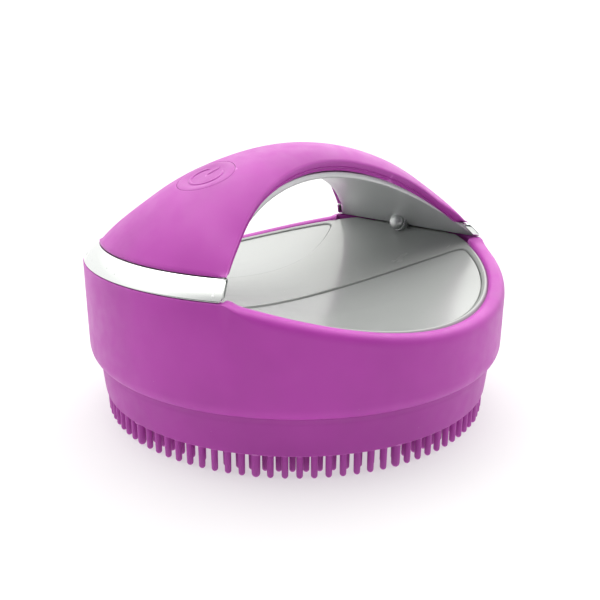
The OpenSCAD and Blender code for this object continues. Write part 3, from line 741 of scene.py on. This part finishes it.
def make_grip():
    """The handle's silicone skin: a domed hourglass with a round hole for the button."""
    rows, columns = 151, 45
    end_r = TRIM_TOP_R - GRIP_END_GAP
    widest = math.pi / 2 * 0.93
    shares = np.sin(np.linspace(-1, 1, columns) * widest) / math.sin(widest)
    along = np.linspace(-1, 1, rows)
    plan = np.zeros((rows, columns, 2))
    for j, s in enumerate(shares):
        reach = end_x(s, end_r, GRIP_EDGE)
        for i, u in enumerate(along):
            x = u * reach
            stretch = math.sqrt(1 + (x / math.sqrt(WAIST_CURVE_R ** 2 - x * x)) ** 2)
            plan[i, j] = (x, s * (half_width(x) - GRIP_EDGE * stretch))
    # the block of cells round the button is replaced by rings that close in on its round hole
    hole_r = BUTTON_R + 0.1
    reach_x, reach_y = 9.2, 9.4
    block_x = [i for i in range(rows) if abs(plan[i, columns // 2, 0] - BUTTON_CENTRE[0]) < reach_x]
    block_y = [j for j in range(columns)
               if abs(plan[block_x[0], j, 1]) < reach_y and abs(plan[block_x[-1], j, 1]) < reach_y]
    i0, i1, j0, j1 = block_x[0], block_x[-1], block_y[0], block_y[-1]
    faces = [f for n, f in enumerate(grid_faces(rows, columns))
             if not (i0 <= n // (columns - 1) < i1 and j0 <= n % (columns - 1) < j1)]
    ring = [(i0, j) for j in range(j0, j1)] + [(i, j1) for i in range(i0, i1)]
    ring += [(i1, j) for j in range(j1, j0, -1)] + [(i, j0) for i in range(i1, i0, -1)]
    flat = [tuple(p) for p in plan.reshape(-1, 2)]
    top = [np.array([x, y, float(grip_top(x, y))]) for x, y in flat]
    outer = [i * columns + j for i, j in ring]
    angles = []
    for i, j in ring:
        d = np.array([*plan[i, j], float(grip_top(*plan[i, j]))]) - BUTTON_CENTRE
        angles.append(math.atan2(d[1], d[0] * math.cos(BUTTON_TILT) + d[2] * math.sin(BUTTON_TILT)))
    hole = [button_hole_point(a, hole_r, grip_top) for a in angles]
    before = outer
    hole_at = {}
    for s in (0.25, 0.5, 0.75, 0.9, 1.0):
        current = []
        for k, o in enumerate(outer):
            p = np.array(top[o])[:2] * (1 - s) + hole[k][:2] * s
            current.append(len(top))
            top.append(np.array([p[0], p[1], float(grip_top(*p))]))
            if s == 1.0:
                hole_at[current[-1]] = angles[k]
        for k in range(len(outer)):
            k2 = (k + 1) % len(outer)
            faces.append((before[k2], before[k], current[k], current[k2]))
        before = current
    bottom = []
    for p in top:
        rho = math.hypot(p[0], p[1])
        depth = 1.9 + 0.6 * float(ease((rho - 25) / 20))
        # straight down, but along the button's axis near its hole
        from_button = np.linalg.norm(np.cross(p - BUTTON_CENTRE, BUTTON_AXIS))
        near = 1 - float(ease((from_button - BUTTON_R - 0.4) / 2.5))
        inward = near * BUTTON_AXIS + (1 - near) * np.array([0, 0, 1.0])
        low = p - depth * inward / np.linalg.norm(inward)
        low[2] = max(low[2], TRIM_TOP_Z + 0.08)
        bottom.append(low)
    bottom = np.array(bottom)

    def edge_rows(i):
        p = np.array(top[i])
        if i in hole_at:
            # a small rounded edge at the button's hole
            away = p - BUTTON_CENTRE
            away -= (away @ BUTTON_AXIS) * BUTTON_AXIS
            away /= np.linalg.norm(away)
            found = [p - 0.02 * away - 0.02 * BUTTON_AXIS, p - 0.04 * away - 0.12 * BUTTON_AXIS,
                     p - 0.03 * away - 0.6 * BUTTON_AXIS]
            low = p - 0.01 * away - 1.6 * BUTTON_AXIS
            return found + [low, low - 0.05 * BUTTON_AXIS, low - 0.1 * BUTTON_AXIS, low - 0.12 * BUTTON_AXIS]
        row, column = divmod(i, columns)
        slope = p[0] / math.sqrt(WAIST_CURVE_R ** 2 - p[0] ** 2)
        side = -1 if column == 0 else 1 if column == columns - 1 else 0
        normal = np.array([-abs(slope) * np.sign(p[0]), side]) / math.hypot(slope, 1) if side else np.zeros(2)
        radial = p[:2] / np.hypot(*p[:2]) if row in (0, rows - 1) else np.zeros(2)
        at_end = row in (0, rows - 1)
        end_fall = 0.45 * radial

        def at(out, z):
            return np.array([*(p[:2] + out * normal + end_fall * min(1.0, out / GRIP_EDGE + 0.4)), z])

        # a crisp upper corner, a side that leans in a little, and a rounded lip
        brow = p[:2] + 0.25 * normal + 0.3 * radial
        brow_z = max(float(grip_top(*brow)) - 0.1, TRIM_TOP_Z + 0.3)
        lip_z = max(min(float(bar_z(p[0], LIP_Z, LIP_R)), brow_z - 0.9), TRIM_TOP_Z + 0.06)
        fall = brow_z - lip_z
        if at_end and not side:
            return [at(0.3, brow_z), at(0.5, brow_z - 0.3 * fall), at(0.7, lip_z + 0.4 * fall),
                    at(0.8, lip_z + 0.15 * fall), at(0.75, lip_z + 0.03), at(0.3, lip_z), at(-0.6, lip_z + 0.01)]
        foot = GRIP_EDGE - GRIP_LEAN
        return [at(0.25, brow_z), at(GRIP_EDGE, brow_z - 0.3), at(foot + 0.08, lip_z + 0.45),
                at(foot - 0.02, lip_z + 0.2), at(foot - 0.14, lip_z + 0.05), at(foot - 0.4, lip_z),
                at(foot - 0.9, lip_z + 0.02)]

    solid = thick_sheet(top, bottom, faces, edge_rows)
    add_piece("handle_grip_silicone", solid.points, solid.faces, SLEEVE, "housing",
              ["handle_grip"])


def make_liner():
    """The silver lining of the arch, with rounded long edges."""
    rows, columns = 121, 31
    reach = TRAY_END_X - 0.15
    top, bottom = [], []
    for i in range(rows):
        x = reach * math.sin(math.pi / 2 * (2 * i / (rows - 1) - 1))
        width = float(half_width(x)) - LINER_INSET
        for j in range(columns):
            y = width * (2 * j / (columns - 1) - 1)
            lean = np.array([x, 0, float(bar_z(x, 0, ARCH_R))]) / ARCH_R
            p = np.array([x, y, float(bar_z(x, ARCH_Z, ARCH_R))])
            bottom.append(p)
            top.append(p + LINER_T * lean)
    faces = grid_faces(rows, columns)

    def edge_rows(i):
        row, column = divmod(i, columns)
        side = -1 if column == 0 else 1 if column == columns - 1 else 0
        up, down = np.array(top[i]), np.array(bottom[i])
        out = np.array([0, 0.3 * side, 0])
        lean = (up - down) / np.linalg.norm(up - down)
        return bezier(up, up + out, up + out - 0.4 * lean, (0.4, 0.8)) + \
            bezier(down + out + 0.4 * lean, down + out, down, (0.2, 0.6))

    solid = thick_sheet(top, bottom, faces, edge_rows)
    add_piece("handle_liner_shell", solid.points, solid.faces, LINER_SILVER, "housing",
              ["handle_liner"])


# ---------------------------------------------------------------- power button and charge port

def at_button(u, v, h):
    """A point from the button's own plane: u towards the crown, v across, h outwards."""
    across = np.array([math.cos(BUTTON_TILT), 0, math.sin(BUTTON_TILT)])
    return BUTTON_CENTRE + u * across + v * np.array([0, 1, 0]) + h * BUTTON_AXIS


def dish_height(u, v):
    """Height of the button's face along its axis: the grip's own surface, with a shallow dish in it."""
    rho = math.hypot(u, v)
    p = button_hole_point(math.atan2(v, u), rho, grip_top)
    dish = 0.5 * float(1 - ease((rho - 3.4) / (BUTTON_R - 4.0)))
    return float((p - BUTTON_CENTRE) @ BUTTON_AXIS) - dish


def raised_stroke(solid, path, width, height):
    """A raised stroke with a rounded top along a path in the button's plane."""
    path = np.array(path)
    n = len(path)
    section = [(-0.5, -0.3), (-0.5, 0.25), (-0.36, 0.7), (-0.15, 0.95), (0.15, 0.95), (0.36, 0.7), (0.5, 0.25),
               (0.5, -0.3)]
    points = []
    for i in range(n):
        along = path[min(i + 1, n - 1)] - path[max(i - 1, 0)]
        along /= np.linalg.norm(along)
        across = np.array([-along[1], along[0]])
        taper = min(1.0, 0.35 + 0.65 * min(i, n - 1 - i) / 3)
        for w, h in section:
            u, v = path[i] + across * w * width * taper
            base = dish_height(*path[i])
            points.append(at_button(u, v, base + h * height * (0.4 + 0.6 * taper)))
    m = len(section)
    faces = grid_faces(n, m, close_columns=True)
    faces += [tuple(range(m)), tuple((n - 1) * m + k for k in reversed(range(m)))]
    solid.add(points, faces)


def make_button():
    """The silicone key, dished like a fingertip, with a generic on-off mark: an open ring and a bar."""
    solid = Solid()
    turns = 96
    low = -1.85
    around = np.linspace(0, 2 * math.pi, turns, endpoint=False)
    rings = [[at_button(0, 0, low)] * turns]
    for r, h in ((BUTTON_R - 0.35, low), (BUTTON_R, low + 0.35)):
        rings.append([at_button(*on_circle(r, a), h) for a in around])
    rounded = [(BUTTON_R, 0.25), (BUTTON_R - 0.01, 0.12), (BUTTON_R - 0.05, 0.03), (BUTTON_R - 0.14, 0)]
    for r, sunk in rounded + [(r, 0) for r in np.linspace(BUTTON_R - 0.4, 0.01, 22)]:
        circle = [on_circle(r, a) for a in around]
        rings.append([at_button(u, v, dish_height(u, v) - sunk) for u, v in circle])
    rings.append([at_button(0, 0, dish_height(0.001, 0))] * turns)
    solid.add([p for ring in rings for p in ring], grid_faces(len(rings), turns, close_columns=True))
    stroke_w, stroke_h = 0.75, 0.2
    ring_r = 3.9
    gap_angle = math.radians(34)
    ring = [on_circle(ring_r, a) for a in np.linspace(gap_angle, 2 * math.pi - gap_angle, 60)]
    raised_stroke(solid, ring, stroke_w, stroke_h)
    bar = [(u, 0.0) for u in np.linspace(0.6, 4.3, 14)]
    raised_stroke(solid, bar, stroke_w, stroke_h)
    add_piece("power_button_cap", solid.points, solid.faces, BUTTON, "button", ["power_button"])


def make_port():
    """The charge socket's collar, and the domed plug that closes it."""
    deep, mouth = -SOCKET_LEN, SOCKET_BORE_R
    collar = [(0, deep), (SOCKET_BODY_R - 0.2, deep), (SOCKET_BODY_R, deep + 0.2)]
    collar += [(SOCKET_BODY_R, -2.7), (SOCKET_FACE_R - 0.15, -2.6), (SOCKET_FACE_R, -2.45), (SOCKET_FACE_R, -0.3)]
    collar += [(SOCKET_FACE_R - 0.08, -0.1), (SOCKET_FACE_R - 0.28, 0)]
    collar += [(mouth + 0.3, 0), (mouth + 0.1, -0.07), (mouth, -0.25), (mouth, deep + 1), (0, deep + 1)]
    socket = Solid()
    socket.lathe(collar, PORT_CENTRE, PORT_AXIS, 64)
    add_piece("charge_port_collar", socket.points, socket.faces, PLUG_SILVER, "housing",
              ["charge_port"], 35)
    tip, neck_r, brim = -PLUG_STEM_LEN, PLUG_STEM_R - 0.04, 0.55
    shape = [(0, tip + 0.05), (PLUG_STEM_R - 0.5, tip), (PLUG_STEM_R - 0.2, tip + 0.08), (neck_r, tip + 0.35)]
    shape += [(neck_r, -1.9), (PLUG_STEM_R, -1.8), (PLUG_STEM_R, -1.5), (neck_r, -1.4), (neck_r, 0.05)]
    shape += [(PLUG_HEAD_R - 0.25, 0.06), (PLUG_HEAD_R - 0.05, 0.15)]
    shape += [(PLUG_HEAD_R * math.cos(a), brim + (PLUG_HEAD_H - brim) * math.sin(a))
              for a in np.linspace(0, math.pi / 2, 14)]
    plug = Solid()
    plug.lathe(shape, PORT_CENTRE, PORT_AXIS, 64)
    add_piece("charge_port_plug_dome", plug.points, plug.faces, PLUG_SILVER, "port_plug",
              ["charge_port_plug"])


# ---------------------------------------------------------------- inner pieces, light and camera

def dress_inner_nodes():
    """The CAD's own inner pieces keep their shapes and take procedural materials."""
    dressed = {
        INNER_PLASTIC: ["base_plate", "drum_shell", "handle_shell", "button_plunger", "battery_strap", "motor_clamp"],
        SEAL_RUBBER: ["pad_seal", "motor_sleeve"],
        SCREW_STEEL: ["handle_screws", "housing_screws", "board_screws", "strap_screws", "clamp_screws",
                      "motor_shaft"],
        SWITCH_BLACK: ["tact_switch", "board_parts"],
        CIRCUIT: ["switch_board", "main_board"],
        WIRE_RED: ["switch_wires", "battery_wires", "motor_wires", "charge_wires"],
        CELL_WRAP: ["battery_cell"],
        MOTOR_STEEL: ["motor_can"],
        WEIGHT_METAL: ["eccentric_weight"],
        BRASS: ["charge_contact"],
    }
    for material, names in dressed.items():
        for name in names:
            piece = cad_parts[name]
            piece.data.materials.clear()
            piece.data.materials.append(material)


def area_light(name, place, target, size, power):
    data = bpy.data.lights.new(name, "AREA")
    data.shape = "DISK"
    data.size, data.energy = size, power
    lamp = bpy.data.objects.new(name, data)
    bpy.context.scene.collection.objects.link(lamp)
    lamp.location = place
    lamp.rotation_euler = (Vector(target) - Vector(place)).to_track_quat("-Z", "Y").to_euler()


def make_studio():
    """A pale floor lit like a light table, a sky that is bright behind and above, and two soft lamps."""
    floor_mesh = bpy.data.meshes.new("studio_floor")
    half = 40.0
    floor_mesh.from_pydata([(-half, -half, 0), (half, -half, 0), (half, half, 0), (-half, half, 0)], [],
                           [(0, 1, 2, 3)])
    floor = bpy.data.objects.new("studio_floor", floor_mesh)
    bpy.context.scene.collection.objects.link(floor)
    material, tree, shader = new_material("light_table", (0.4, 0.4, 0.4), 0.9, Emission_Strength=0.55)
    shader.inputs["Emission Color"].default_value = (1, 1, 1, 1)
    shade = ramp(tree, noise(tree, 40, 3), [(0.3, grey(0.40)), (0.7, grey(0.41))])
    tree.links.new(shade, shader.inputs["Base Color"])
    floor_mesh.materials.append(material)
    world = bpy.data.worlds.new("studio")
    world.use_nodes = True
    tree = world.node_tree
    background = tree.nodes["Background"]
    direction = node(tree, "ShaderNodeTexCoord")
    forward = node(tree, "ShaderNodeVectorMath", operation="DOT_PRODUCT")
    forward.inputs[1].default_value = (-0.66, -0.75, 0)
    tree.links.new(direction.outputs["Generated"], forward.inputs[0])
    level = ramp(tree, forward.outputs["Value"],
                 [(0.0, (0.98, 0.98, 0.98)), (0.3, (0.28, 0.28, 0.31)), (0.6, (0.03, 0.03, 0.04))])
    upward = node(tree, "ShaderNodeVectorMath", operation="DOT_PRODUCT")
    upward.inputs[1].default_value = (0.24, 0.27, 0.93)
    tree.links.new(direction.outputs["Generated"], upward.inputs[0])
    zenith = ramp(tree, upward.outputs["Value"],
                  [(0.0, grey(0)), (0.5, (0.13, 0.125, 0.12)), (1.0, (1.45, 1.42, 1.34))])
    lit = node(tree, "ShaderNodeMixRGB", blend_type="ADD")
    lit.inputs["Fac"].default_value = 1
    tree.links.new(level, lit.inputs["Color1"])
    tree.links.new(zenith, lit.inputs["Color2"])
    tree.links.new(lit.outputs["Color"], background.inputs["Color"])
    background.inputs["Strength"].default_value = 1.06
    bpy.context.scene.world = world
    area_light("top_soft", (0.0, 0.3, 0.85), (0, 0, 0.03), 0.8, 1.6)
    area_light("right_soft", (0.75, 0.15, 0.45), (0, 0, 0.03), 0.8, 1.1)
    bpy.context.scene.view_settings.view_transform = "Standard"


def make_camera():
    data = bpy.data.cameras.new("photo_view")
    data.sensor_width, data.lens = 36, 42.4
    data.clip_start, data.clip_end = 0.005, 20
    camera = bpy.data.objects.new("photo_view", data)
    bpy.context.scene.collection.objects.link(camera)
    camera.location = (-0.1257, -0.1287, 0.0788)
    camera.rotation_euler = (math.radians(90 - 16.86), math.radians(-0.3), math.radians(-44.6))
    bpy.context.scene.camera = camera


make_brush_pad()
make_sleeve()
make_tray()
make_side_panel(1, "side_panel_front_inlay", "side_panel_front")
make_side_panel(-1, "side_panel_back_inlay", "side_panel_back")
make_trim(-1, "trim_band_left_chrome", "trim_band_left")
make_trim(1, "trim_band_right_chrome", "trim_band_right")
make_grip()
make_liner()
make_button()
make_port()
dress_inner_nodes()
make_studio()
make_camera()
